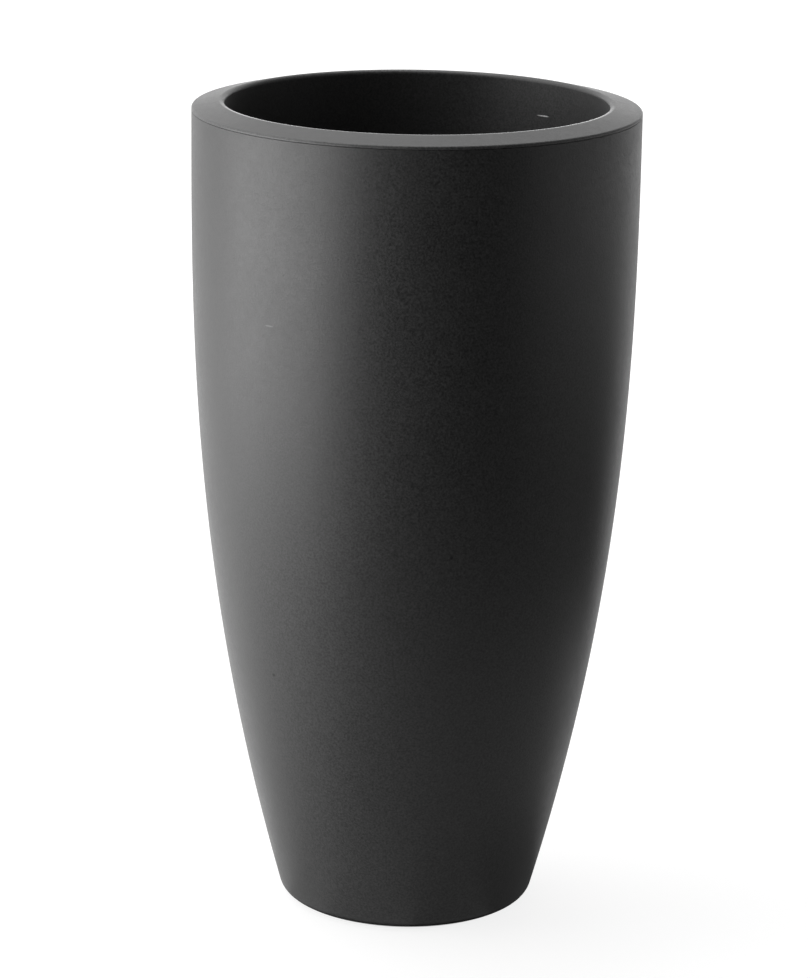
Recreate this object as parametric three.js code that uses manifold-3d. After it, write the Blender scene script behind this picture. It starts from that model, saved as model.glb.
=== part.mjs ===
// Tall round floor planter. A tapering outer shell stands on rubber pads and carries a lift-out
// inner pot, whose wide sloping rim closes the top of the shell with a fine seam all round.
// A slotted grate rests on a ledge inside the pot, above the water that collects there, and both
// floors have a drain hole with a sealed plug.
// Millimetres, +Z up. The origin is on the ground, on the planter's axis.

import * as THREE from 'three';
import { mergeVertices } from 'three/addons/utils/BufferGeometryUtils.js';
import Module from 'manifold-3d';

const wasm = await Module();
wasm.setup();

// ---- Driving dimensions ----

const height = 735; // ground to the rim's crest
const seatGap = 0.3; // between pieces that rest on each other
const edgeBreak = 0.5; // chamfer that breaks a moulded edge

const shellTopRadius = 198; // the rim is flush with it
const shellFootRadius = 113.3; // where the straight lower side would meet the base
const shellLean = 15.5; // degrees that the side leans out at its foot
const lowerReach = 313; // how far the foot's lean carries up into the curve
const upperReach = 184; // how far the upright top carries down into the curve
const footFillet = 14;
const shellWall = 4.5;
const baseRecess = 4; // the base stands on a ring, and inside it the floor is raised by this

const rimWidth = 29; // from the mouth's wall to the rim's outer edge
const rimHeight = 8.3; // from the crest down to the seam
const rimSlope = 12.9; // degrees that the rim's top falls outward
const rimEdgeRadius = 1.5;
const mouthFillet = 4;

const potWall = 4;
const potDraft = 1.5; // degrees
const potDepth = 300; // from the rim's crest to the pot's floor
const potFloorFillet = 8;
const potFootHeight = 3.5;
const potFootWidth = 8;
const reservoirDepth = 48; // from the pot's floor up to the grate's ledge
const ledgeWidth = 8;

const skirtDepth = 12; // the skirt under the rim centres the pot in the shell's mouth
const skirtWall = 3;
const skirtClearance = 0.8;
const rimRibCount = 12;
const rimRibDepth = 9;
const rimRibThickness = 2.5;

const grateThickness = 3;
const grateClearance = 1.5;
const grateRibDepth = 6;
const grateRibThickness = 2.5;
const grateHubRadius = 40;
const grateSpokeCount = 6;
const slotRowCount = 3;
const slotWidth = 6;
const slotPitch = 26; // spacing of the slots along their row
const slotLand = 9; // plain ring between two rows
const fingerHoleRadius = 11;
const fingerHoleReach = 23; // from the axis to a finger hole's centre

const drainHoleRadius = 12;
const drainBossHeight = 3;
const drainBossMargin = 3; // the boss is wider than the plug's flange by this
const plugClearance = 0.5;
const plugFlangeOverlap = 6; // how far the flange reaches past the hole
const plugFlangeThickness = 3;
const plugWall = 3;
const plugProud = 1; // how far the stem shows below the floor
const plugGripWidth = 22;
const plugGripHeight = 11;
const plugGripThickness = 5;
const sealThickness = 2;

const padCount = 4;
const padRadius = 11;
const padProud = 1.5; // how far the pads hold the base off the ground
const padSocketDepth = 1;
const padClearance = 0.3;
const padMargin = 3; // from a pad's socket to the edge of the ring it sits in

// ---- Smoothness ----

const bodySteps = 56; // facets round the shell and the pot
const grateSteps = 36;
const fingerHoleSteps = 12;
const smallSteps = 24; // facets round the plugs, seals and pads
const sideSteps = 8; // facets up the curved side
const filletSteps = 3;

// ---- Sizes and levels that follow ----

const rimRadius = shellTopRadius;
const mouthRadius = rimRadius - rimWidth;
const rimBottom = height - rimHeight;
const shellTop = rimBottom - seatGap;
const shellBottom = padProud;
const shellFloorUnderside = shellBottom + baseRecess;
const shellFloor = shellFloorUnderside + shellWall;
const potFloor = height - potDepth;
const potFloorUnderside = potFloor - potWall;
const ledgeLevel = potFloor + reservoirDepth;
const grateBottom = ledgeLevel + seatGap;
const plugFlangeRadius = drainHoleRadius + plugFlangeOverlap;
const drainBossRadius = plugFlangeRadius + drainBossMargin;
const padSocketRadius = padRadius + padClearance;

// ---- Outlines ----

const degrees = THREE.MathUtils.degToRad;

function point(radius, level) {
  return new THREE.Vector2(radius, level);
}

// Points along an arc, from one angle to another, in degrees.
function arc(centre, radius, fromAngle, toAngle, steps = filletSteps) {
  const points = [];
  for (let step = 0; step <= steps; step += 1) {
    const angle = degrees(THREE.MathUtils.lerp(fromAngle, toAngle, step / steps));
    const x = centre.x + radius * Math.cos(angle);
    const y = centre.y + radius * Math.sin(angle);
    points.push(new THREE.Vector2(x, y));
  }
  return points;
}

// ---- Solids ----

// A closed geometry as a solid that can be joined and cut.
function toSolid(geometry) {
  geometry.deleteAttribute('normal');
  geometry.deleteAttribute('uv');
  const merged = mergeVertices(geometry);
  const corners = merged.index.array;
  const triangles = [];
  for (let i = 0; i < corners.length; i += 3) {
    const [a, b, c] = corners.slice(i, i + 3);
    if (a !== b && b !== c && c !== a) {
      triangles.push(a, b, c);
    }
  }
  const vertProperties = merged.attributes.position.array;
  const triVerts = new Uint32Array(triangles);
  return new wasm.Manifold(new wasm.Mesh({ numProp: 3, vertProperties, triVerts }));
}

function toGeometry(solid) {
  const mesh = solid.getMesh();
  const geometry = new THREE.BufferGeometry();
  geometry.setAttribute('position', new THREE.BufferAttribute(mesh.vertProperties, mesh.numProp));
  geometry.setIndex(new THREE.BufferAttribute(mesh.triVerts, 1));
  geometry.computeVertexNormals();
  return geometry;
}

// A closed outline of (radius, level) points, turned about the planter's axis.
// Its points run anticlockwise, with the radius to the right and the level up.
function revolve(outline, steps) {
  const geometry = new THREE.LatheGeometry([...outline, outline[0]], steps);
  geometry.rotateX(Math.PI / 2);
  return toSolid(geometry);
}

// A flat outline, raised from one level by a height.
function raise(outline, holes, bottom, thickness) {
  const shape = new THREE.Shape(outline);
  shape.holes = holes.map((hole) => new THREE.Path(hole));
  const geometry = new THREE.ExtrudeGeometry(shape, { depth: thickness, bevelEnabled: false });
  geometry.translate(0, 0, bottom);
  return toSolid(geometry);
}

// An upright plate: an outline in a plane through the axis, thickened to both sides of it.
function uprightPlate(outline, thickness, turn) {
  const shape = new THREE.Shape(outline);
  const geometry = new THREE.ExtrudeGeometry(shape, { depth: thickness, bevelEnabled: false });
  geometry.translate(0, 0, -thickness / 2);
  geometry.rotateX(Math.PI / 2);
  geometry.rotateZ(degrees(turn));
  return toSolid(geometry);
}

function disc(radius, bottom, thickness, centreRadius = 0, turn = 0) {
  const geometry = new THREE.CylinderGeometry(radius, radius, thickness, smallSteps);
  geometry.rotateX(Math.PI / 2);
  geometry.translate(centreRadius, 0, bottom + thickness / 2);
  geometry.rotateZ(degrees(turn));
  return toSolid(geometry);
}

// ---- Outer shell ----

// The side springs from the foot's fillet at the shell's lean and ends upright at the top.
const footTangent = footFillet * (1 - Math.sin(degrees(shellLean))) / Math.cos(degrees(shellLean));
const footCentre = point(shellFootRadius - footTangent, shellBottom + footFillet);
const leanDirection = point(Math.sin(degrees(shellLean)), Math.cos(degrees(shellLean)));
const sideStart = point(shellFootRadius, shellBottom).addScaledVector(leanDirection, footTangent);
const sideEnd = point(shellTopRadius, shellTop - edgeBreak);
const side = new THREE.CubicBezierCurve(
  sideStart,
  sideStart.clone().addScaledVector(leanDirection, lowerReach),
  point(shellTopRadius, sideEnd.y - upperReach),
  sideEnd,
);
const baseRingRadius = footCentre.x - 2 * (padSocketRadius + padMargin);
const padCircleRadius = footCentre.x - padSocketRadius - padMargin;

// The side's points from the foot up, moved inward by the inset.
function sidePoints(inset) {
  const points = [];
  for (let step = 0; step <= sideSteps; step += 1) {
    const onSide = side.getPoint(step / sideSteps);
    const along = side.getTangent(step / sideSteps);
    points.push(point(onSide.x - inset * along.y, onSide.y + inset * along.x));
  }
  return points;
}

function outerShell() {
  const outline = [
    point(drainHoleRadius, shellFloor + drainBossHeight),
    point(drainHoleRadius, shellFloorUnderside),
    point(baseRingRadius, shellFloorUnderside),
    point(baseRingRadius, shellBottom),
    ...arc(footCentre, footFillet, -90, -shellLean).slice(0, -1),
    ...sidePoints(0),
    point(shellTopRadius - edgeBreak, shellTop),
    point(shellTopRadius - shellWall, shellTop),
    ...sidePoints(shellWall).reverse(),
    ...arc(footCentre, footFillet - shellWall, -shellLean, -90).slice(1),
    point(baseRingRadius + shellWall, shellBottom + shellWall),
    point(baseRingRadius + shellWall, shellFloor),
    point(drainBossRadius, shellFloor),
    point(drainBossRadius, shellFloor + drainBossHeight),
  ];
  let solid = revolve(outline, bodySteps);
  for (let pad = 0; pad < padCount; pad += 1) {
    const socket = disc(
      padSocketRadius, shellBottom - padSocketDepth, 2 * padSocketDepth, padCircleRadius, padAngle(pad),
    );
    solid = solid.subtract(socket);
  }
  return solid;
}

// ---- Floor pads ----

function padAngle(pad) {
  return (pad + 0.5) * 360 / padCount;
}

function floorPad(pad) {
  const thickness = padProud + padSocketDepth - seatGap;
  return disc(padRadius, 0, thickness, padCircleRadius, padAngle(pad));
}

// ---- Inner pot ----

const mouthCentre = point(mouthRadius + mouthFillet, height - mouthFillet);
const skirtRadius = shellTopRadius - shellWall - skirtClearance;
const skirtInnerRadius = skirtRadius - skirtWall;

// The level of the rim's sloping top at a radius, or of a surface parallel to it below.
function rimLevel(radius, below = 0) {
  const slope = degrees(rimSlope);
  const across = radius - mouthCentre.x;
  return mouthCentre.y + (mouthFillet - below) / Math.cos(slope) - across * Math.tan(slope);
}

// The pot's inner wall leans in with depth, and so does the wall of its reservoir.
function potInnerRadius(level) {
  const inset = level < ledgeLevel ? ledgeWidth : 0;
  return mouthRadius - inset - (mouthCentre.y - level) * Math.tan(degrees(potDraft));
}

function rimOutline() {
  const edgeCentreRadius = rimRadius - rimEdgeRadius;
  const edgeCentre = point(edgeCentreRadius, rimLevel(edgeCentreRadius, rimEdgeRadius));
  return [
    point(skirtInnerRadius, rimBottom - skirtDepth),
    point(skirtRadius, rimBottom - skirtDepth),
    point(skirtRadius, rimBottom),
    point(rimRadius - edgeBreak, rimBottom),
    point(rimRadius, rimBottom + edgeBreak / 2),
    ...arc(edgeCentre, rimEdgeRadius, 0, 90 - rimSlope),
    ...arc(mouthCentre, mouthFillet, 90 - rimSlope, 90, 1),
    ...arc(mouthCentre, mouthFillet, 90, 180).slice(1),
  ];
}

function innerPot() {
  const stepUnderside = ledgeLevel - potWall;
  const floorCentre = point(potInnerRadius(potFloor) - potFloorFillet, potFloor + potFloorFillet);
  const footBottom = potFloorUnderside - potFootHeight;
  const wallRadius = potInnerRadius(mouthCentre.y) + potWall;
  const outline = [
    point(drainHoleRadius, potFloor + drainBossHeight),
    point(drainHoleRadius, potFloorUnderside),
    point(floorCentre.x - potFootWidth, potFloorUnderside),
    point(floorCentre.x - potFootWidth, footBottom),
    point(floorCentre.x, footBottom),
    ...arc(floorCentre, potFloorFillet + potWall, -90, 0),
    point(potInnerRadius(stepUnderside) + potWall, stepUnderside),
    point(potInnerRadius(ledgeLevel) + potWall, stepUnderside),
    point(wallRadius, rimLevel(wallRadius, potWall)),
    point(skirtInnerRadius, rimLevel(skirtInnerRadius, potWall)),
    ...rimOutline(),
    point(potInnerRadius(ledgeLevel), ledgeLevel),
    point(potInnerRadius(ledgeLevel) - ledgeWidth, ledgeLevel),
    ...arc(floorCentre, potFloorFillet, 0, -90),
    point(drainBossRadius, potFloor),
    point(drainBossRadius, potFloor + drainBossHeight),
  ];
  let solid = revolve(outline, bodySteps);
  const embed = rimRibThickness / 2;
  const ribStart = wallRadius - embed;
  const ribEnd = skirtInnerRadius + embed;
  const ribOutline = [
    point(ribStart, rimBottom - rimRibDepth),
    point(ribEnd, rimBottom - rimRibDepth),
    point(ribEnd, rimLevel(ribEnd, potWall) + embed),
    point(ribStart, rimLevel(ribStart, potWall) + embed),
  ];
  for (let rib = 0; rib < rimRibCount; rib += 1) {
    const plate = uprightPlate(ribOutline, rimRibThickness, (rib + 0.5) * 360 / rimRibCount);
    solid = solid.add(plate);
  }
  return solid;
}

// ---- Drainage grate ----

const grateRadius = potInnerRadius(ledgeLevel) - grateClearance;
const grateRimRadius = potInnerRadius(ledgeLevel) - ledgeWidth - grateClearance;

function circle(centre, radius, steps) {
  return arc(centre, radius, 0, 360, steps).slice(0, -1);
}

// A slot with round ends that points away from the axis.
function radialSlot(startRadius, endRadius, turn) {
  const half = slotWidth / 2;
  const outerEnd = arc(point(endRadius - half, 0), half, -90, 90);
  const innerEnd = arc(point(startRadius + half, 0), half, 90, 270);
  const origin = point(0, 0);
  return [...outerEnd, ...innerEnd].map((corner) => corner.rotateAround(origin, degrees(turn)));
}

function ribRing(outerRadius) {
  const innerRadius = outerRadius - grateRibThickness;
  const ribBottom = grateBottom - grateRibDepth;
  const ribTop = grateBottom + grateThickness / 2;
  const outline = [
    point(innerRadius, ribBottom),
    point(outerRadius, ribBottom),
    point(outerRadius, ribTop),
    point(innerRadius, ribTop),
  ];
  return revolve(outline, grateSteps);
}

function drainageGrate() {
  const rowPitch = (grateRimRadius - grateRibThickness - grateHubRadius) / slotRowCount;
  const holes = [];
  let ribs = ribRing(grateRimRadius);
  for (let row = 0; row < slotRowCount; row += 1) {
    const rowStart = grateHubRadius + row * rowPitch;
    const slotStart = rowStart + slotLand / 2;
    const slotEnd = rowStart + rowPitch - slotLand / 2;
    const rowLength = Math.PI * (slotStart + slotEnd);
    const slotsPerBay = Math.round(rowLength / slotPitch / grateSpokeCount);
    const slotCount = slotsPerBay * grateSpokeCount;
    for (let slot = 0; slot < slotCount; slot += 1) {
      holes.push(radialSlot(slotStart, slotEnd, (slot + 0.5) * 360 / slotCount));
    }
    ribs = ribs.add(ribRing(rowStart + grateRibThickness / 2));
  }
  for (const reach of [-fingerHoleReach, fingerHoleReach]) {
    holes.push(circle(point(reach, 0), fingerHoleRadius, fingerHoleSteps));
  }
  const spokeOutline = [
    point(grateHubRadius, grateBottom - grateRibDepth),
    point(grateRimRadius - grateRibThickness / 2, grateBottom - grateRibDepth),
    point(grateRimRadius - grateRibThickness / 2, grateBottom + grateThickness / 2),
    point(grateHubRadius, grateBottom + grateThickness / 2),
  ];
  for (let spoke = 0; spoke < grateSpokeCount; spoke += 1) {
    ribs = ribs.add(uprightPlate(spokeOutline, grateRibThickness, spoke * 360 / grateSpokeCount));
  }
  const outline = circle(point(0, 0), grateRadius, grateSteps);
  return raise(outline, holes, grateBottom, grateThickness).add(ribs);
}

// ---- Drain plugs and their seals ----

const stemRadius = drainHoleRadius - plugClearance;

// A hollow stem with a flange over it and an upright grip on top, in a floor with a drain boss.
function drainPlug(floorUnderside, floorTop) {
  const stemBottom = floorUnderside - plugProud;
  const flangeBottom = floorTop + drainBossHeight + sealThickness + 2 * seatGap;
  const flangeTop = flangeBottom + plugFlangeThickness;
  const outline = [
    point(0, flangeTop - plugWall),
    point(stemRadius - plugWall, flangeTop - plugWall),
    point(stemRadius - plugWall, stemBottom),
    point(stemRadius - edgeBreak, stemBottom),
    point(stemRadius, stemBottom + edgeBreak),
    point(stemRadius, flangeBottom),
    point(plugFlangeRadius, flangeBottom),
    point(plugFlangeRadius, flangeTop - edgeBreak),
    point(plugFlangeRadius - edgeBreak, flangeTop),
    point(0, flangeTop),
  ];
  const gripCornerRadius = plugGripHeight / 2;
  const gripShoulder = point(plugGripWidth / 2 - gripCornerRadius, flangeTop + gripCornerRadius);
  const gripOutline = [
    point(-plugGripWidth / 2, flangeTop - plugWall / 2),
    point(plugGripWidth / 2, flangeTop - plugWall / 2),
    ...arc(gripShoulder, gripCornerRadius, 0, 90),
    ...arc(point(-gripShoulder.x, gripShoulder.y), gripCornerRadius, 90, 180),
  ];
  const body = revolve(outline, smallSteps);
  return body.add(uprightPlate(gripOutline, plugGripThickness, 0));
}

// A flat rubber ring between the boss and the flange.
function plugSeal(floorTop) {
  const bottom = floorTop + drainBossHeight + seatGap;
  const top = bottom + sealThickness;
  const innerRadius = stemRadius + seatGap;
  const outerRadius = plugFlangeRadius - edgeBreak;
  const outline = [
    point(innerRadius, bottom),
    point(outerRadius - edgeBreak, bottom),
    point(outerRadius, bottom + edgeBreak),
    point(outerRadius, top - edgeBreak),
    point(outerRadius - edgeBreak, top),
    point(innerRadius, top),
  ];
  return revolve(outline, smallSteps);
}

// ---- Assembly ----

const anthracite = { color: 0x3b3c3e, roughness: 0.52, metalness: 0 };
const blackPlastic = { color: 0x1d1e1f, roughness: 0.6, metalness: 0 };
const rubber = { color: 0x18181a, roughness: 0.85, metalness: 0 };

function piece(name, solid, finish) {
  const mesh = new THREE.Mesh(toGeometry(solid), new THREE.MeshStandardMaterial(finish));
  mesh.name = name;
  return mesh;
}

const group = new THREE.Group();
group.add(piece('outer_shell', outerShell(), anthracite));
group.add(piece('inner_pot', innerPot(), anthracite));
group.add(piece('drainage_grate', drainageGrate(), blackPlastic));
group.add(piece('pot_drain_plug', drainPlug(potFloorUnderside, potFloor), blackPlastic));
group.add(piece('pot_plug_seal', plugSeal(potFloor), rubber));
group.add(piece('shell_drain_plug', drainPlug(shellFloorUnderside, shellFloor), blackPlastic));
group.add(piece('shell_plug_seal', plugSeal(shellFloor), rubber));
for (let pad = 0; pad < padCount; pad += 1) {
  group.add(piece(`floor_pad_${pad + 1}`, floorPad(pad), rubber));
}

export default group;
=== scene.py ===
"""Looks of the tall round floor planter: finely turned meshes, matte moulded plastic, soft studio light."""

import math

import bmesh
import bpy
from mathutils import Matrix, Vector
from mathutils.bvhtree import BVHTree
from mathutils.geometry import interpolate_bezier


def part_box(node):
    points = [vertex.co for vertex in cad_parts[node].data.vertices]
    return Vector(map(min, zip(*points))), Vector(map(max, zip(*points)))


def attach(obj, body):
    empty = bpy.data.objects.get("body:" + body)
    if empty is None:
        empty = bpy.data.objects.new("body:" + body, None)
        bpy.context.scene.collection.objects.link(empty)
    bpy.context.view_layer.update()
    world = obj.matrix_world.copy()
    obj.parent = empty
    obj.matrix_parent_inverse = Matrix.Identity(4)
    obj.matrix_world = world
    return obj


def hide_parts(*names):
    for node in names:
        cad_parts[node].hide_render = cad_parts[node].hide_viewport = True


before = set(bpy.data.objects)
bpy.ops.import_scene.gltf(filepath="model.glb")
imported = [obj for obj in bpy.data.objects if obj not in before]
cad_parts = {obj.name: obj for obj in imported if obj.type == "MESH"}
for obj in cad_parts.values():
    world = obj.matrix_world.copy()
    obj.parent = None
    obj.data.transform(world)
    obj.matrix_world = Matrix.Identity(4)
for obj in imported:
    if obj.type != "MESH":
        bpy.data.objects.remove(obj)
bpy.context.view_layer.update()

MM = 0.001

# ---- Sizes: what the frame says, and the walls and roundings inside it ----

SEAT_GAP = 0.3 * MM
shell_low, shell_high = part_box("outer_shell")
pot_low, pot_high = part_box("inner_pot")
grate_low, grate_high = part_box("drainage_grate")

SHELL_TOP = shell_high.z
SHELL_BOTTOM = shell_low.z
SHELL_TOP_RADIUS = shell_high.x
SHELL_FOOT_RADIUS = 113.3 * MM
SHELL_LEAN = math.radians(15.5)
LOWER_REACH = 313 * MM
UPPER_REACH = 184 * MM
FOOT_FILLET = 14 * MM
SHELL_WALL = 4.5 * MM
BASE_RECESS = 4 * MM
SHELL_FLOOR = SHELL_BOTTOM + BASE_RECESS + SHELL_WALL

HEIGHT = pot_high.z
RIM_RADIUS = pot_high.x
RIM_BOTTOM = SHELL_TOP + SEAT_GAP
RIM_SLOPE = math.radians(12.9)
RIM_EDGE_ROUNDING = 2 * MM
SEAM_EDGE = 0.2 * MM
MOUTH_RADIUS = RIM_RADIUS - 29 * MM
MOUTH_FILLET = 4 * MM
POT_WALL = 4 * MM
POT_DRAFT = math.radians(1.5)
POT_FLOOR = HEIGHT - 300 * MM
POT_FLOOR_FILLET = 8 * MM
POT_FOOT_WIDTH = 8 * MM
LEDGE_WIDTH = 8 * MM
LEDGE_LEVEL = POT_FLOOR + 48 * MM
SKIRT_RADIUS = SHELL_TOP_RADIUS - SHELL_WALL - 0.8 * MM
SKIRT_WALL = 3 * MM
SKIRT_DEPTH = 12 * MM
RIM_RIB_COUNT = 12
RIM_RIB_DEPTH = 9 * MM
RIM_RIB_THICKNESS = 2.5 * MM

GRATE_THICKNESS = 3 * MM
GRATE_RADIUS = grate_high.x
GRATE_RIM_RADIUS = GRATE_RADIUS - LEDGE_WIDTH
GRATE_RIB_THICKNESS = 2.5 * MM
GRATE_HUB_RADIUS = 40 * MM
SPOKE_COUNT = 6
SLOT_ROWS = 3
SLOT_WIDTH = 6 * MM
SLOT_PITCH = 26 * MM
SLOT_LAND = 9 * MM
FINGER_HOLE_RADIUS = 11 * MM
FINGER_HOLE_REACH = 23 * MM

DRAIN_RADIUS = 12 * MM
BOSS_HEIGHT = 3 * MM
BOSS_RADIUS = 21 * MM
STEM_RADIUS = 11.5 * MM
FLANGE_RADIUS = 18 * MM
FLANGE_THICKNESS = 3 * MM
PLUG_WALL = 3 * MM
GRIP_WIDTH = 22 * MM
GRIP_HEIGHT = 11 * MM
GRIP_THICKNESS = 5 * MM
SEAL_ROUNDING = 0.8 * MM
PAD_COUNT = 4
PAD_SOCKET_RADIUS = 11.3 * MM
PAD_SOCKET_DEPTH = 1 * MM
PAD_MARGIN = 3 * MM  # flat of the foot kept outside each pad's socket

EDGE = 0.5 * MM  # rounding of an ordinary moulded edge
FINE_EDGE = 0.3 * MM
BODY_STEPS = 256
SMALL_STEPS = 96
SIDE_STEPS = 96
ARC_STEPS = 8
EDGE_STEPS = 4
SLOT_STEPS = 6
SUPPORT = 0.4 * MM  # plain face kept beside each rounding, so that it shades evenly
ON_AXIS = 1e-7  # a corner of an outline nearer to the axis than this lies on it
CREASE = math.radians(35)  # a sharper fold than this is a true corner

# ---- Camera: where the photograph was taken from ----

PHOTO_WIDTH, PHOTO_HEIGHT = 810, 978
FOCAL_PIXELS = 3805.6
CAMERA_DISTANCE = 3.3109
CAMERA_HEIGHT = 1.2853
CAMERA_YAW = math.radians(0.096)
CAMERA_PITCH = math.radians(15.267)
CAMERA_ROLL = math.radians(-0.874)
SENSOR = 36.0


def camera_axes():
    """The camera's forward, right and down directions."""
    forward = Vector((
        -math.sin(CAMERA_YAW) * math.cos(CAMERA_PITCH),
        math.cos(CAMERA_YAW) * math.cos(CAMERA_PITCH),
        -math.sin(CAMERA_PITCH),
    ))
    level_right = Vector((math.cos(CAMERA_YAW), math.sin(CAMERA_YAW), 0))
    level_down = forward.cross(level_right)
    right = math.cos(CAMERA_ROLL) * level_right + math.sin(CAMERA_ROLL) * level_down
    down = math.cos(CAMERA_ROLL) * level_down - math.sin(CAMERA_ROLL) * level_right
    return forward, right, down


CAMERA_PLACE = Vector((0, -CAMERA_DISTANCE, CAMERA_HEIGHT))
FORWARD, RIGHT, DOWN = camera_axes()


def make_camera():
    data = bpy.data.cameras.new("camera")
    data.sensor_fit = "AUTO"
    data.sensor_width = SENSOR
    data.lens = FOCAL_PIXELS * SENSOR / PHOTO_HEIGHT
    camera = bpy.data.objects.new("camera", data)
    turn = Matrix((RIGHT, -DOWN, -FORWARD)).transposed()
    camera.matrix_world = Matrix.Translation(CAMERA_PLACE) @ turn.to_4x4()
    bpy.context.scene.collection.objects.link(camera)
    bpy.context.scene.camera = camera


def seen_point(piece, across, down):
    """The point of a piece that the camera sees at a pixel of the photograph."""
    sideways = RIGHT * (across - PHOTO_WIDTH / 2) + DOWN * (down - PHOTO_HEIGHT / 2)
    tree = BVHTree.FromObject(piece, bpy.context.evaluated_depsgraph_get())
    return tree.ray_cast(CAMERA_PLACE, FORWARD * FOCAL_PIXELS + sideways)[0]


# ---- Outlines in the (radius, level) plane ----


def arc(centre, radius, start, end, steps=ARC_STEPS):
    """Points of an arc from one angle to another."""
    points = []
    for step in range(steps + 1):
        angle = start + (end - start) * step / steps
        points.append(centre + radius * Vector((math.cos(angle), math.sin(angle))))
    return points


def rounded(corners, steps=EDGE_STEPS):
    """A closed outline of (radius, level) or (radius, level, rounding) corners."""
    outline = []
    for index, (radius, level, *rounding) in enumerate(corners):
        corner = Vector((radius, level))
        if not rounding:
            outline.append(corner)
            continue
        before = (Vector(corners[index - 1][:2]) - corner).normalized()
        after = (Vector(corners[(index + 1) % len(corners)][:2]) - corner).normalized()
        half = before.angle(after) / 2
        reach = rounding[0] / math.tan(half)
        centre = corner + (before + after).normalized() * rounding[0] / math.sin(half)
        first = corner + before * reach - centre
        last = corner + after * reach - centre
        start = math.atan2(first.y, first.x)
        sweep = (math.atan2(last.y, last.x) - start + math.pi) % math.tau - math.pi
        outline.append(corner + before * (reach + SUPPORT))
        outline += arc(centre, rounding[0], start, start + sweep, steps)
        outline.append(corner + after * (reach + SUPPORT))
    return outline


def circle(radius, steps, centre=(0, 0)):
    return arc(Vector(centre), radius, 0, math.tau, steps)[:-1]


# ---- Meshes ----


def link(name, mesh):
    piece = bpy.data.objects.new(name, mesh)
    bpy.context.scene.collection.objects.link(piece)
    return piece


def smooth(mesh):
    """Shades the rounded parts smooth and keeps true corners crisp."""
    mesh.shade_smooth()
    mesh.set_sharp_from_angle(angle=CREASE)


def turned(name, outline, steps=BODY_STEPS):
    """A piece turned about the planter's axis from a closed anticlockwise outline."""
    made = bmesh.new()
    rings = []
    for corner in outline:
        if corner.x < ON_AXIS:
            rings.append([made.verts.new((0, 0, corner.y))] * steps)
            continue
        ring = []
        for step in range(steps):
            angle = math.tau * step / steps
            ring.append(made.verts.new((corner.x * math.cos(angle), corner.x * math.sin(angle), corner.y)))
        rings.append(ring)
    for index, ring in enumerate(rings):
        above = rings[(index + 1) % len(rings)]
        for step in range(steps):
            turn = (step + 1) % steps
            loop = [ring[step], ring[turn], above[turn], above[step]]
            loop = [corner for place, corner in enumerate(loop) if corner is not loop[place - 1]]
            if len(loop) > 2:
                made.faces.new(loop)
    mesh = bpy.data.meshes.new(name)
    made.to_mesh(mesh)
    made.free()
    return link(name, mesh)


def flat_plate(name, outline, holes, bottom, thickness):
    """A flat plate with holes, from a level upward."""
    made = bmesh.new()
    for loop in [outline, *holes]:
        corners = [made.verts.new((corner.x, corner.y, bottom)) for corner in loop]
        for index, corner in enumerate(corners):
            made.edges.new((corners[index - 1], corner))
    bmesh.ops.triangle_fill(made, use_beauty=True, use_dissolve=False, edges=made.edges[:])
    raised = bmesh.ops.extrude_face_region(made, geom=made.faces[:])["geom"]
    top = [corner for corner in raised if isinstance(corner, bmesh.types.BMVert)]
    bmesh.ops.translate(made, vec=(0, 0, thickness), verts=top)
    bmesh.ops.recalc_face_normals(made, faces=made.faces[:])
    mesh = bpy.data.meshes.new(name)
    made.to_mesh(mesh)
    made.free()
    return link(name, mesh)


def stand_up(piece, turn=0.0):
    """Stands a plate on edge: its second axis becomes the level, its thickness straddles the axis."""
    piece.data.transform(Matrix.Rotation(turn, 4, "Z") @ Matrix.Rotation(math.pi / 2, 4, "X"))


def apply_modifiers(piece):
    shown = piece.evaluated_get(bpy.context.evaluated_depsgraph_get())
    mesh = bpy.data.meshes.new_from_object(shown)
    piece.modifiers.clear()
    piece.data = mesh


def soften(piece, width, segments=2):
    """Rounds every sharp edge of a plate."""
    bevel = piece.modifiers.new("soften", "BEVEL")
    bevel.limit_method = "ANGLE"
    bevel.angle_limit = CREASE
    bevel.width = width
    bevel.segments = segments
    apply_modifiers(piece)


def combine(piece, others, operation):
    """Joins other closed pieces to a piece, or cuts them from it, and removes them."""
    for other in others:
        boolean = piece.modifiers.new(operation, "BOOLEAN")
        boolean.operation = operation
        boolean.solver = "EXACT"
        boolean.object = other
    apply_modifiers(piece)
    for other in others:
        bpy.data.objects.remove(other)


# ---- Outer shell ----

foot_tangent = FOOT_FILLET * (1 - math.sin(SHELL_LEAN)) / math.cos(SHELL_LEAN)
foot_centre = Vector((SHELL_FOOT_RADIUS - foot_tangent, SHELL_BOTTOM + FOOT_FILLET))
pad_circle = foot_centre.x - PAD_SOCKET_RADIUS - PAD_MARGIN
base_ring_radius = foot_centre.x - 2 * (foot_centre.x - pad_circle)


def side_points(inset):
    """The shell's curved side from the foot's fillet up to its top, moved inward by the inset."""
    lean = Vector((math.sin(SHELL_LEAN), math.cos(SHELL_LEAN)))
    start = Vector((SHELL_FOOT_RADIUS, SHELL_BOTTOM)) + lean * foot_tangent
    end = Vector((SHELL_TOP_RADIUS, SHELL_TOP - EDGE))
    lower = start + lean * LOWER_REACH
    upper = end - Vector((0, UPPER_REACH))
    curve = interpolate_bezier(start.to_3d(), lower.to_3d(), upper.to_3d(), end.to_3d(), SIDE_STEPS + 1)
    curve = [corner.to_2d() for corner in curve]
    points = []
    for index, corner in enumerate(curve):
        along = (curve[min(index + 1, SIDE_STEPS)] - curve[max(index - 1, 0)]).normalized()
        points.append(corner + inset * Vector((-along.y, along.x)))
    return points


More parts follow.
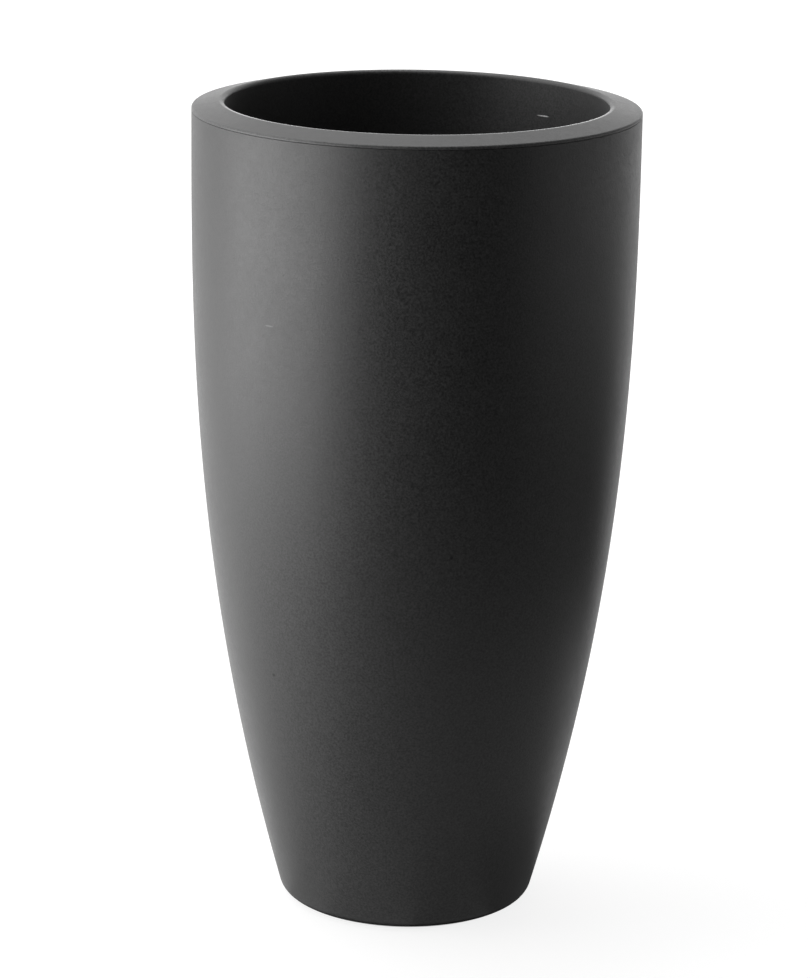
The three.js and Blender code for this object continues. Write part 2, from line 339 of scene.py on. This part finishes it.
def outer_shell():
    lean_angle = -SHELL_LEAN
    straight_down = -math.pi / 2
    outer = arc(foot_centre, FOOT_FILLET, straight_down, lean_angle)[:-1] + side_points(0)[:-1]
    inner = side_points(SHELL_WALL)[-2::-1]
    inner += arc(foot_centre, FOOT_FILLET - SHELL_WALL, lean_angle, straight_down)[1:]
    trough_radius = base_ring_radius + SHELL_WALL
    corners = [
        (DRAIN_RADIUS, SHELL_FLOOR + BOSS_HEIGHT, EDGE),
        (DRAIN_RADIUS, SHELL_FLOOR - SHELL_WALL, EDGE),
        (base_ring_radius, SHELL_FLOOR - SHELL_WALL, EDGE),
        (base_ring_radius, SHELL_BOTTOM, EDGE),
        *[tuple(corner) for corner in outer],
        (SHELL_TOP_RADIUS, SHELL_TOP, SEAM_EDGE),
        (SHELL_TOP_RADIUS - SHELL_WALL, SHELL_TOP, EDGE),
        *[tuple(corner) for corner in inner],
        (trough_radius, SHELL_BOTTOM + SHELL_WALL, EDGE),
        (trough_radius, SHELL_FLOOR, EDGE),
        (BOSS_RADIUS, SHELL_FLOOR, EDGE),
        (BOSS_RADIUS, SHELL_FLOOR + BOSS_HEIGHT, EDGE),
    ]
    piece = turned("planter_shell", rounded(corners))
    sockets = []
    for pad in range(PAD_COUNT):
        socket_top = SHELL_BOTTOM + PAD_SOCKET_DEPTH
        socket = turned("socket", pad_outline(PAD_SOCKET_RADIUS, -PAD_SOCKET_DEPTH, socket_top))
        socket.data.transform(pad_place(pad))
        sockets.append(socket)
    combine(piece, sockets, "DIFFERENCE")
    return piece


# ---- Floor pads ----


def pad_outline(radius, bottom, top):
    return rounded([(0, bottom), (radius, bottom, FINE_EDGE), (radius, top, FINE_EDGE), (0, top)])


def pad_place(pad):
    turn = math.tau * (pad + 0.5) / PAD_COUNT
    return Matrix.Rotation(turn, 4, "Z") @ Matrix.Translation((pad_circle, 0, 0))


def floor_pad(pad):
    low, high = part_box(f"floor_pad_{pad + 1}")
    radius = PAD_SOCKET_RADIUS - SEAT_GAP
    piece = turned(f"rubber_pad_{pad + 1}", pad_outline(radius, low.z, high.z), SMALL_STEPS)
    piece.data.transform(pad_place(pad))
    return piece


# ---- Inner pot ----

mouth_centre = Vector((MOUTH_RADIUS + MOUTH_FILLET, HEIGHT - MOUTH_FILLET))


def rim_level(radius, below=0.0):
    """The level of the rim's sloping top, or of a surface parallel to it below."""
    across = radius - mouth_centre.x
    return mouth_centre.y + (MOUTH_FILLET - below) / math.cos(RIM_SLOPE) - across * math.tan(RIM_SLOPE)


def pot_radius(level):
    inset = LEDGE_WIDTH if level < LEDGE_LEVEL else 0
    return MOUTH_RADIUS - inset - (mouth_centre.y - level) * math.tan(POT_DRAFT)


def inner_pot():
    quarter = math.pi / 2
    floor_centre = Vector((pot_radius(POT_FLOOR) - POT_FLOOR_FILLET, POT_FLOOR + POT_FLOOR_FILLET))
    underside = POT_FLOOR - POT_WALL
    step = LEDGE_LEVEL - POT_WALL
    wall_radius = pot_radius(mouth_centre.y) + POT_WALL
    skirt_inner = SKIRT_RADIUS - SKIRT_WALL
    edge_radius = RIM_RADIUS - RIM_EDGE_ROUNDING
    edge_centre = Vector((edge_radius, rim_level(edge_radius, RIM_EDGE_ROUNDING)))
    slope_start = mouth_centre + MOUTH_FILLET * Vector((math.sin(RIM_SLOPE), math.cos(RIM_SLOPE)))
    slope_run = Vector((math.cos(RIM_SLOPE), -math.sin(RIM_SLOPE))) * SUPPORT
    rim_arc = arc(edge_centre, RIM_EDGE_ROUNDING, 0, quarter - RIM_SLOPE)
    corners = [
        (DRAIN_RADIUS, POT_FLOOR + BOSS_HEIGHT, EDGE),
        (DRAIN_RADIUS, underside, EDGE),
        (floor_centre.x - POT_FOOT_WIDTH, underside, EDGE),
        (floor_centre.x - POT_FOOT_WIDTH, pot_low.z, EDGE),
        (floor_centre.x, pot_low.z, EDGE),
        *[tuple(corner) for corner in arc(floor_centre, POT_FLOOR_FILLET + POT_WALL, -quarter, 0)],
        (pot_radius(step) + POT_WALL, step, EDGE),
        (pot_radius(LEDGE_LEVEL) + POT_WALL, step, EDGE),
        (wall_radius, rim_level(wall_radius, POT_WALL), EDGE),
        (skirt_inner, rim_level(skirt_inner, POT_WALL), EDGE),
        (skirt_inner, RIM_BOTTOM - SKIRT_DEPTH, EDGE),
        (SKIRT_RADIUS, RIM_BOTTOM - SKIRT_DEPTH, EDGE),
        (SKIRT_RADIUS, RIM_BOTTOM, EDGE),
        (RIM_RADIUS, RIM_BOTTOM, SEAM_EDGE),
        *[tuple(corner) for corner in rim_arc],
        tuple(rim_arc[-1] - slope_run),
        tuple(slope_start + slope_run),
        *[tuple(corner) for corner in arc(mouth_centre, MOUTH_FILLET, quarter - RIM_SLOPE, quarter)],
        *[tuple(corner) for corner in arc(mouth_centre, MOUTH_FILLET, quarter, math.pi)[1:]],
        (pot_radius(LEDGE_LEVEL), LEDGE_LEVEL, EDGE),
        (pot_radius(LEDGE_LEVEL) - LEDGE_WIDTH, LEDGE_LEVEL, EDGE),
        *[tuple(corner) for corner in arc(floor_centre, POT_FLOOR_FILLET, 0, -quarter)],
        (BOSS_RADIUS, POT_FLOOR, EDGE),
        (BOSS_RADIUS, POT_FLOOR + BOSS_HEIGHT, EDGE),
    ]
    piece = turned("pot_with_rim", rounded(corners))
    rib_start = wall_radius - RIM_RIB_THICKNESS / 2
    rib_end = skirt_inner + RIM_RIB_THICKNESS / 2
    rib_outline = [
        Vector((rib_start, RIM_BOTTOM - RIM_RIB_DEPTH)),
        Vector((rib_end, RIM_BOTTOM - RIM_RIB_DEPTH)),
        Vector((rib_end, rim_level(rib_end, POT_WALL) + MM)),
        Vector((rib_start, rim_level(rib_start, POT_WALL) + MM)),
    ]
    ribs = []
    for rib in range(RIM_RIB_COUNT):
        plate = flat_plate("rib", rib_outline, [], -RIM_RIB_THICKNESS / 2, RIM_RIB_THICKNESS)
        stand_up(plate, math.tau * (rib + 0.5) / RIM_RIB_COUNT)
        ribs.append(plate)
    combine(piece, ribs, "UNION")
    return piece


# ---- Drainage grate ----


def radial_slot(start, end, turn):
    """A slot with round ends that points away from the axis."""
    half = SLOT_WIDTH / 2
    quarter = math.pi / 2
    loop = arc(Vector((end - half, 0)), half, -quarter, quarter, SLOT_STEPS)
    loop += arc(Vector((start + half, 0)), half, quarter, 3 * quarter, SLOT_STEPS)
    return [Matrix.Rotation(turn, 2) @ corner for corner in loop]


def drainage_grate():
    plate_bottom = grate_high.z - GRATE_THICKNESS
    inside_plate = plate_bottom + GRATE_THICKNESS / 2
    row_pitch = (GRATE_RIM_RADIUS - GRATE_RIB_THICKNESS - GRATE_HUB_RADIUS) / SLOT_ROWS
    holes = []
    ring_radii = [GRATE_RIM_RADIUS]
    for row in range(SLOT_ROWS):
        row_start = GRATE_HUB_RADIUS + row * row_pitch
        ring_radii.append(row_start + GRATE_RIB_THICKNESS / 2)
        start = row_start + SLOT_LAND / 2
        end = row_start + row_pitch - SLOT_LAND / 2
        count = SPOKE_COUNT * round(math.pi * (start + end) / SLOT_PITCH / SPOKE_COUNT)
        for slot in range(count):
            holes.append(radial_slot(start, end, math.tau * (slot + 0.5) / count))
    for reach in (-FINGER_HOLE_REACH, FINGER_HOLE_REACH):
        holes.append(circle(FINGER_HOLE_RADIUS, SMALL_STEPS // 2, (reach, 0)))
    outline = circle(GRATE_RADIUS, BODY_STEPS)
    piece = flat_plate("slotted_grate", outline, holes, plate_bottom, GRATE_THICKNESS)
    soften(piece, EDGE)
    ribs = []
    for radius in ring_radii:
        ribs.append(turned("ring_rib", rounded([
            (radius - GRATE_RIB_THICKNESS, grate_low.z, EDGE),
            (radius, grate_low.z, EDGE),
            (radius, inside_plate),
            (radius - GRATE_RIB_THICKNESS, inside_plate),
        ])))
    spoke_outline = [
        Vector((GRATE_HUB_RADIUS, grate_low.z)),
        Vector((GRATE_RIM_RADIUS - EDGE, grate_low.z)),
        Vector((GRATE_RIM_RADIUS - EDGE, inside_plate)),
        Vector((GRATE_HUB_RADIUS, inside_plate)),
    ]
    for spoke in range(SPOKE_COUNT):
        plate = flat_plate("spoke", spoke_outline, [], -GRATE_RIB_THICKNESS / 2, GRATE_RIB_THICKNESS)
        stand_up(plate, math.tau * spoke / SPOKE_COUNT)
        ribs.append(plate)
    combine(piece, ribs, "UNION")
    return piece


# ---- Drain plugs and their seals ----


def drain_plug(name, node):
    """A hollow stem with a flange and an upright finger grip."""
    low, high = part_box(node)
    flange_top = high.z - GRIP_HEIGHT
    flange_bottom = flange_top - FLANGE_THICKNESS
    core = STEM_RADIUS - PLUG_WALL
    body = turned(name, rounded([
        (0, flange_top - PLUG_WALL),
        (core, flange_top - PLUG_WALL, FINE_EDGE),
        (core, low.z, FINE_EDGE),
        (STEM_RADIUS, low.z, 2 * EDGE),
        (STEM_RADIUS, flange_bottom, FINE_EDGE),
        (FLANGE_RADIUS, flange_bottom, FINE_EDGE),
        (FLANGE_RADIUS, flange_top, 2 * EDGE),
        (0, flange_top),
    ]), SMALL_STEPS)
    corner_radius = GRIP_HEIGHT / 2
    shoulder = Vector((GRIP_WIDTH / 2 - corner_radius, high.z - corner_radius))
    quarter = math.pi / 2
    foot = flange_top - PLUG_WALL / 2
    outline = [Vector((-GRIP_WIDTH / 2, foot)), Vector((GRIP_WIDTH / 2, foot))]
    outline += arc(shoulder, corner_radius, 0, quarter)
    outline += arc(Vector((-shoulder.x, shoulder.y)), corner_radius, quarter, 2 * quarter)
    grip = flat_plate("grip", outline, [], -GRIP_THICKNESS / 2, GRIP_THICKNESS)
    stand_up(grip)
    soften(grip, 2 * EDGE, 3)
    combine(body, [grip], "UNION")
    return body


def plug_seal(name, node):
    low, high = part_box(node)
    inner, outer = STEM_RADIUS + SEAT_GAP, high.x
    return turned(name, rounded([
        (inner, high.z, FINE_EDGE),
        (inner, low.z, FINE_EDGE),
        (outer, low.z, SEAL_ROUNDING),
        (outer, high.z, SEAL_ROUNDING),
    ]), SMALL_STEPS)


# ---- Materials ----

ANTHRACITE = 0.035
ANTHRACITE_ROUGHNESS = 0.48
ANTHRACITE_GRAIN = 1.8 * MM
BLACK = 0.013
BLACK_ROUGHNESS = 0.5
BLACK_GRAIN = 1.2 * MM
PLASTIC_IOR = 1.49

# How far the grain, the mottling and the clouds vary the tone, as a share, and the roughness.
GRAIN_TONE = 0.45
GRAIN_GLOSS = 0.06
GRAIN_RELIEF = 0.06  # the grain's depth as a share of its size
MOTTLE_SIZE = 7 * MM
MOTTLE_TONE = 0.05
MOTTLE_GLOSS = 0.025
CLOUD_SIZE = 60 * MM
CLOUD_TONE = 0.03
CLOUD_GLOSS = 0.015
WAVE_SIZE = 45 * MM
WAVE_DEPTH = 0.05 * MM

RUBBER = 0.012
RUBBER_ROUGHNESS = 0.8
RUBBER_IOR = 1.5
DUST_SIZE = 5 * MM
DUST_MIDDLE = 1.05  # the dust makes the rubber this much lighter on the whole
DUST_TONE = 0.2
DUST_GLOSS = 0.08
PIT_SIZE = 0.5 * MM
PIT_DEPTH = 0.05 * MM

RIM_EDGE_HIGHLIGHT_TONE = 1.7  # painted highlight: how much lighter the rim's rounded outer edge is made
LIP_HIGHLIGHT_TONE = 4  # painted highlight: how much lighter the mouth's front edge is made, on its front half only
LIP_POLISH = -0.28  # what the polish of that edge adds to the roughness
LIP_INSIDE = MOUTH_RADIUS + 2 * MM
LIP_OUTSIDE = MOUTH_RADIUS + 4.6 * MM
LIP_BOTTOM = HEIGHT - 3 * MM
LIP_FADE = 0.8 * MM
LIP_SIDE = -10 * MM
LIP_FRONT = -90 * MM

# The two ends of each wear mark, as pixels of the photograph.
UPPER_SCRATCH = ((264, 325), (274, 327))
LOWER_SPECK = ((272, 675), (275.5, 675))
MIDDLE_SPECK = ((449.5, 558), (453.5, 558))
MOUTH_SCRATCH = ((536, 115), (550, 117))
# Each mark's ends, its width and its tone as a multiple of the plain one.
SHELL_MARKS = [
    (UPPER_SCRATCH, 1.6 * MM, 4),
    (LOWER_SPECK, 3.8 * MM, 0.1),
    (MIDDLE_SPECK, 4 * MM, 0.35),
]
POT_MARKS = [(MOUTH_SCRATCH, 1.6 * MM, 22)]
MARK_CORE = 0.4  # the share of a mark's reach that has its full tone


class Nodes:
    """Adds nodes to the tree of a material or world and wires them."""

    def __init__(self, holder):
        holder.use_nodes = True
        self.tree = holder.node_tree

    def fill(self, socket, value):
        if isinstance(value, bpy.types.NodeSocket):
            self.tree.links.new(value, socket)
        else:
            socket.default_value = value

    def add(self, kind, inputs=None, **settings):
        node = self.tree.nodes.new(kind)
        for key, value in settings.items():
            setattr(node, key, value)
        for key, value in (inputs or {}).items():
            self.fill(node.inputs[key], value)
        return node

    def set(self, name, value):
        """Sets or links an input of the material's own shader."""
        self.fill(self.tree.nodes["Principled BSDF"].inputs[name], value)

    def place(self):
        return self.add("ShaderNodeTexCoord").outputs["Object"]

    def math(self, operation, first, second):
        return self.add("ShaderNodeMath", {0: first, 1: second}, operation=operation).outputs[0]

    def length(self, vector):
        return self.add("ShaderNodeVectorMath", {0: vector}, operation="LENGTH").outputs["Value"]

    def noise(self, size, detail=2.0, roughness=0.5):
        """Noise with features of a real size, from 0 to 1 about 0.5."""
        inputs = {"Vector": self.place(), "Scale": 1 / size, "Detail": detail, "Roughness": roughness}
        return self.add("ShaderNodeTexNoise", inputs).outputs["Fac"]

    def spread(self, value, low, high, start=0.3, end=0.7):
        """Maps a value between a start and an end to a range. The usual start and end suit a noise."""
        inputs = {"Value": value, "From Min": start, "From Max": end, "To Min": low, "To Max": high}
        return self.add("ShaderNodeMapRange", inputs).outputs["Result"]

    def vary(self, noise, amount, middle=1.0):
        """Varies evenly about a middle value."""
        return self.spread(noise, middle - amount, middle + amount)

    def masked(self, mask, outside, inside):
        return self.spread(mask, outside, inside, 0, 1)

    def grey(self, value):
        inputs = {"Red": value, "Green": value, "Blue": value}
        return self.add("ShaderNodeCombineColor", inputs).outputs["Color"]

    def bump(self, height):
        inputs = {"Height": height, "Distance": 1.0, "Strength": 1.0}
        return self.add("ShaderNodeBump", inputs).outputs["Normal"]

    def streak(self, tone, start, end, width, strength):
        """Lightens or darkens a thin streak between two points."""
        along = end - start
        turn = Vector((1, 0, 0)).rotation_difference(along).to_euler()
        size = (along.length / 2, width / 2, width / 2)
        inputs = {"Vector": self.place(), "Location": (start + end) / 2, "Rotation": turn, "Scale": size}
        inside = self.add("ShaderNodeMapping", inputs, vector_type="TEXTURE").outputs["Vector"]
        return self.math("MULTIPLY", tone, self.spread(self.length(inside), strength, 1, MARK_CORE, 1))

    def axis_distance(self):
        inputs = {0: self.place(), 1: (1, 1, 0)}
        return self.length(self.add("ShaderNodeVectorMath", inputs, operation="MULTIPLY").outputs[0])

    def rim_edge_highlight(self):
        """1 on the rim's outer edge, where its painted highlight goes, or else 0."""
        return self.spread(self.axis_distance(), 0, 1, RIM_RADIUS - RIM_EDGE_ROUNDING, RIM_RADIUS - EDGE)

    def lip_highlight_and_polish(self):
        """1 on the front edge of the mouth, which gets a painted highlight and a lower roughness, or else
        0.
        """
        place = self.add("ShaderNodeSeparateXYZ", {0: self.place()}).outputs
        radius = self.axis_distance()
        within = self.spread(radius, 1, 0, LIP_OUTSIDE, LIP_OUTSIDE + LIP_FADE)
        across = self.math("MULTIPLY", within, self.spread(radius, 0, 1, LIP_INSIDE - LIP_FADE, LIP_INSIDE))
        front = self.spread(place["Y"], 0, 1, LIP_SIDE, LIP_FRONT)
        upper = self.spread(place["Z"], 0, 1, LIP_BOTTOM - LIP_FADE, LIP_BOTTOM)
        return self.math("MULTIPLY", self.math("MULTIPLY", across, upper), front)

    def seen_rays(self):
        """1 where the camera, a gloss or a clear material looks straight at a surface, or else 0."""
        path = self.add("ShaderNodeLightPath").outputs
        straight = self.math("MAXIMUM", path["Is Camera Ray"], path["Is Glossy Ray"])
        return self.math("MAXIMUM", straight, path["Is Transmission Ray"])


def moulded_plastic(name, tone, roughness, grain_size, streaks=(), painted_edge_highlights=False):
    """Matte moulded plastic: fine grain, soft mottling of tone and gloss, a faint waviness, wear marks, and
    on request painted highlights on the rim's outer edge and the mouth's front edge.
    """
    material = bpy.data.materials.new(name)
    nodes = Nodes(material)
    cloud = nodes.noise(CLOUD_SIZE, detail=3)
    mottle = nodes.noise(MOTTLE_SIZE, detail=4, roughness=0.6)
    grain = nodes.noise(grain_size, detail=2, roughness=0.6)
    waves = nodes.noise(WAVE_SIZE, detail=1)
    shade = nodes.math("MULTIPLY", nodes.vary(cloud, CLOUD_TONE), nodes.vary(mottle, MOTTLE_TONE))
    shade = nodes.math("MULTIPLY", shade, nodes.vary(grain, GRAIN_TONE))
    for start, end, width, strength in streaks:
        shade = nodes.streak(shade, start, end, width, strength)
    gloss = nodes.math("ADD", nodes.vary(mottle, MOTTLE_GLOSS, 0), nodes.vary(cloud, CLOUD_GLOSS, 0))
    gloss = nodes.math("ADD", gloss, nodes.vary(grain, GRAIN_GLOSS, 0))
    # painted highlights: the rim's outer edge and the mouth's front edge are made lighter, and the mouth's
    # edge is also made glossier
    if painted_edge_highlights:
        shade = nodes.math("MULTIPLY", shade, nodes.masked(nodes.rim_edge_highlight(), 1, RIM_EDGE_HIGHLIGHT_TONE))
        lip_highlight_and_polish = nodes.lip_highlight_and_polish()
        shade = nodes.math("MULTIPLY", shade, nodes.masked(lip_highlight_and_polish, 1, LIP_HIGHLIGHT_TONE))
        gloss = nodes.math("ADD", gloss, nodes.masked(lip_highlight_and_polish, 0, LIP_POLISH))
    nodes.set("Base Color", nodes.grey(nodes.math("MULTIPLY", shade, tone)))
    nodes.set("Roughness", nodes.math("ADD", gloss, roughness))
    relief = nodes.math("MULTIPLY", grain, GRAIN_RELIEF * grain_size)
    nodes.set("Normal", nodes.bump(nodes.math("ADD", relief, nodes.math("MULTIPLY", waves, WAVE_DEPTH))))
    nodes.set("IOR", PLASTIC_IOR)
    return material


def soft_rubber(name, tone):
    """Soft matte rubber: dusty tone, fine pitted grain."""
    material = bpy.data.materials.new(name)
    nodes = Nodes(material)
    dust = nodes.noise(DUST_SIZE, detail=4, roughness=0.65)
    pits = nodes.noise(PIT_SIZE)
    dusty = nodes.math("MULTIPLY", nodes.vary(dust, DUST_TONE, DUST_MIDDLE), tone)
    nodes.set("Base Color", nodes.grey(dusty))
    nodes.set("Roughness", nodes.vary(dust, DUST_GLOSS, RUBBER_ROUGHNESS))
    nodes.set("Normal", nodes.bump(nodes.math("MULTIPLY", pits, PIT_DEPTH)))
    nodes.set("IOR", RUBBER_IOR)
    return material


# ---- Pieces on their bodies ----


def dress(piece, body, node, material):
    piece.data.materials.clear()
    piece.data.materials.append(material)
    smooth(piece.data)
    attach(piece, body)
    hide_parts(node)


def anthracite(name, piece, marks, painted_edge_highlights=False):
    """The planter's own plastic, with wear marks where the camera sees them on a piece."""
    streaks = []
    for (start, end), width, strength in marks:
        streaks.append((seen_point(piece, *start), seen_point(piece, *end), width, strength))
    return moulded_plastic(name, ANTHRACITE, ANTHRACITE_ROUGHNESS, ANTHRACITE_GRAIN, streaks, painted_edge_highlights)


def make_planter():
    black = moulded_plastic("black_plastic", BLACK, BLACK_ROUGHNESS, BLACK_GRAIN)
    rubber = soft_rubber("black_rubber", RUBBER)
    shell = outer_shell()
    shell_plastic = anthracite("anthracite_shell", shell, SHELL_MARKS)
    dress(shell, "shell", "outer_shell", shell_plastic)
    pot = inner_pot()
    pot_plastic = anthracite("anthracite_pot", pot, POT_MARKS, painted_edge_highlights=True)
    dress(pot, "pot", "inner_pot", pot_plastic)
    dress(drainage_grate(), "grate", "drainage_grate", black)
    for place in ("pot", "shell"):
        plug = drain_plug(f"{place}_stopper", f"{place}_drain_plug")
        dress(plug, f"{place}_plug", f"{place}_drain_plug", black)
        seal = plug_seal(f"{place}_stopper_ring", f"{place}_plug_seal")
        dress(seal, f"{place}_plug", f"{place}_plug_seal", rubber)
    for pad in range(PAD_COUNT):
        dress(floor_pad(pad), "shell", f"floor_pad_{pad + 1}", rubber)


# ---- Studio: a tent of curved cards, cards on the floor, and a white world behind them ----

# Azimuths are degrees round from the camera's side, as it sees them: 90 is on its right, -90 on its left.
# Elevations are degrees seen from the planter's middle. Brightness 1 is white, and 0 is black cloth.

FLOOR_TONE = 0.8
FLOOR_SHADOW = 0.25  # how strongly the floor shows the light and the shadow on it
FLOOR_GLOW = 0.85
FLOOR_REACH = 20
DARK_UNDER = 99 * MM  # painted contact shadow: the floor's own glow fades out inside this, in the gap under the foot's rounding
GLOW_FROM = 104 * MM
SHADOW_REACH = 1.0

TENT_RADIUS = 3.0
TENT_MIDDLE = 0.45
TENT_FOOT = -8.5  # the lowest elevation, which is just above the floor
FACET = 7.5  # degrees that one flat facet of a curved card spans
CARD_LEVEL = 1 * MM
RING_INSIDE = 100.5 * MM
RING_OUTSIDE = 114 * MM
NEAR = 0.25  # distances at which cards on the floor meet
MIDDLE = 0.7
FAR = 1.5

# Each card's two azimuths, its two elevations and its brightness.
TENT_CARDS = {
    "black_front": (-34, 56, TENT_FOOT, 90, 0),
    "black_front_left": (-56, -34, 5, 90, 0),
    "dim_right": (56, 146, 5, 90, 0.27),
    "right_horizon": (56, 146, TENT_FOOT, 5, 1.25),
    "bright_back": (146, 214, 5, 20, 2.25),
    "back_softbox": (146, 214, 20, 65, 1.3),
    "left_back_wall": (-146, -101, 5, 40, 1.3),
    "left_lamp": (-101, -34, TENT_FOOT, 5, 6.5),
    "left_wall": (-101, -56, 5, 20, 1.7),
    "left_softbox": (-101, -56, 20, 65, 2.5),
    "left_back_softbox": (-146, -101, 40, 65, 2.5),
    "top_softbox": (-214, -56, 65, 90, 5),
}
# Each card's two azimuths, its two distances from the planter's axis and its brightness.
FLOOR_CARDS = {
    # painted shade, as the planter sees the floor: the black ring round the foot is a painted contact
    # shadow, and the dim card on the foot's right is the planter's painted shadow
    "contact_shadow_ring": (-180, 180, RING_INSIDE, RING_OUTSIDE, 0),
    "foot_left": (-75, -40, RING_OUTSIDE, NEAR, 0.6),
    "foot_front_left": (-40, 5, RING_OUTSIDE, NEAR, 0.4),
    "foot_front": (5, 45, RING_OUTSIDE, NEAR, 0.25),
    "foot_right_shadow": (45, 105, RING_OUTSIDE, NEAR, 0.13),
    "foot_back": (105, 180, RING_OUTSIDE, NEAR, 0.6),
    "grey_front": (-45, 105, NEAR, MIDDLE, 0.34),
    "grey_right": (105, 135, NEAR, MIDDLE, 0.8),
    "grey_left": (-75, -45, NEAR, FAR, 0.72),
    "left_floor": (-105, -45, FAR, TENT_RADIUS, 6.5),
    "bright_back_left": (-180, -105, NEAR / 2, TENT_RADIUS, 1.7),
    "bright_back_right": (135, 180, MIDDLE, TENT_RADIUS, 1.4),
    "black_floor": (-45, 135, MIDDLE, TENT_RADIUS, 0),
}


def studio_point(azimuth, distance, level):
    turn = math.radians(azimuth)
    return Vector((distance * math.sin(turn), -distance * math.cos(turn), level))


def tent_point(azimuth, elevation):
    rise = math.radians(elevation)
    return studio_point(azimuth, TENT_RADIUS * math.cos(rise), TENT_MIDDLE + TENT_RADIUS * math.sin(rise))


def floor_point(azimuth, distance):
    return studio_point(azimuth, distance, CARD_LEVEL)


def make_world():
    """An evenly white world, which is also the white background."""
    world = bpy.data.worlds.new("studio")
    bpy.context.scene.world = world
    background = Nodes(world).tree.nodes["Background"]
    background.inputs["Color"].default_value = (1, 1, 1, 1)
    background.inputs["Strength"].default_value = 1.0


def stage_mesh(name, corners, faces, material):
    mesh = bpy.data.meshes.new(name)
    mesh.from_pydata([tuple(corner) for corner in corners], [], faces)
    mesh.materials.append(material)
    piece = link(name, mesh)
    return piece


def stage_material(name):
    """A material with an empty tree, and the tree's nodes."""
    material = bpy.data.materials.new(name)
    nodes = Nodes(material)
    nodes.tree.nodes.clear()
    return material, nodes


def mixed_surface(nodes, share, first, second):
    """Shows the first shader where the share is 0 and the second where it is 1."""
    mix = nodes.add("ShaderNodeMixShader", {0: share, 1: first.outputs[0], 2: second.outputs[0]})
    nodes.add("ShaderNodeOutputMaterial", {"Surface": mix.outputs[0]})


def make_floor():
    """A pale floor that reads as white where the light reaches it and keeps the planter's soft shadow;
    round the foot its glow fades out into a painted contact shadow.
    """
    material, nodes = stage_material("pale_floor")
    pale = nodes.add("ShaderNodeBsdfDiffuse", {"Color": (FLOOR_TONE, FLOOR_TONE, FLOOR_TONE, 1)})
    tint = nodes.add("ShaderNodeBsdfDiffuse", {"Color": (FLOOR_SHADOW, FLOOR_SHADOW, FLOOR_SHADOW, 1)})
    distance = nodes.length(nodes.place())
    glow_with_contact_shadow = nodes.spread(distance, 0, FLOOR_GLOW, DARK_UNDER, GLOW_FROM)
    far_glow = nodes.spread(distance, 0, 1 - FLOOR_GLOW, SHADOW_REACH, TENT_RADIUS)
    glow = nodes.add("ShaderNodeEmission", {"Strength": nodes.math("ADD", glow_with_contact_shadow, far_glow)})
    shown = nodes.add("ShaderNodeAddShader", {0: tint.outputs[0], 1: glow.outputs[0]})
    mixed_surface(nodes, nodes.seen_rays(), pale, shown)
    reach = FLOOR_REACH
    corners = [(-reach, -reach, 0), (reach, -reach, 0), (reach, reach, 0), (-reach, reach, 0)]
    stage_mesh("floor", corners, [(0, 1, 2, 3)], material)


def make_card(name, point, azimuths, rises, rows, brightness):
    """An evenly bright or black card that faces the planter.

    The point function gives the place at an azimuth and a rise, which is an elevation or a distance.
    The camera doesn't see it, and from behind it is clear, so that the floor under a card keeps its light.
    """
    material, nodes = stage_material(name)
    glow = nodes.add("ShaderNodeEmission", {"Strength": brightness})
    clear = nodes.add("ShaderNodeBsdfTransparent")
    mixed_surface(nodes, nodes.add("ShaderNodeNewGeometry").outputs["Backfacing"], glow, clear)
    columns = math.ceil((azimuths[1] - azimuths[0]) / FACET)
    corners = []
    for row in range(rows + 1):
        rise = rises[0] + (rises[1] - rises[0]) * row / rows
        for column in range(columns + 1):
            corners.append(point(azimuths[0] + (azimuths[1] - azimuths[0]) * column / columns, rise))
    faces = []
    for row in range(rows):
        for column in range(columns):
            first = row * (columns + 1) + column
            faces.append((first, first + columns + 1, first + columns + 2, first + 1))
    card = stage_mesh(name, corners, faces, material)
    card.visible_camera = False


def make_cards():
    for name, (start, end, low, high, brightness) in TENT_CARDS.items():
        rows = math.ceil((high - low) / FACET)
        make_card(name, tent_point, (start, end), (low, high), rows, brightness)
    for name, (start, end, inside, outside, brightness) in FLOOR_CARDS.items():
        make_card(name, floor_point, (start, end), (inside, outside), 1, brightness)


make_camera()
make_planter()
make_world()
make_floor()
make_cards()

scene = bpy.context.scene
scene.view_settings.view_transform = "Standard"
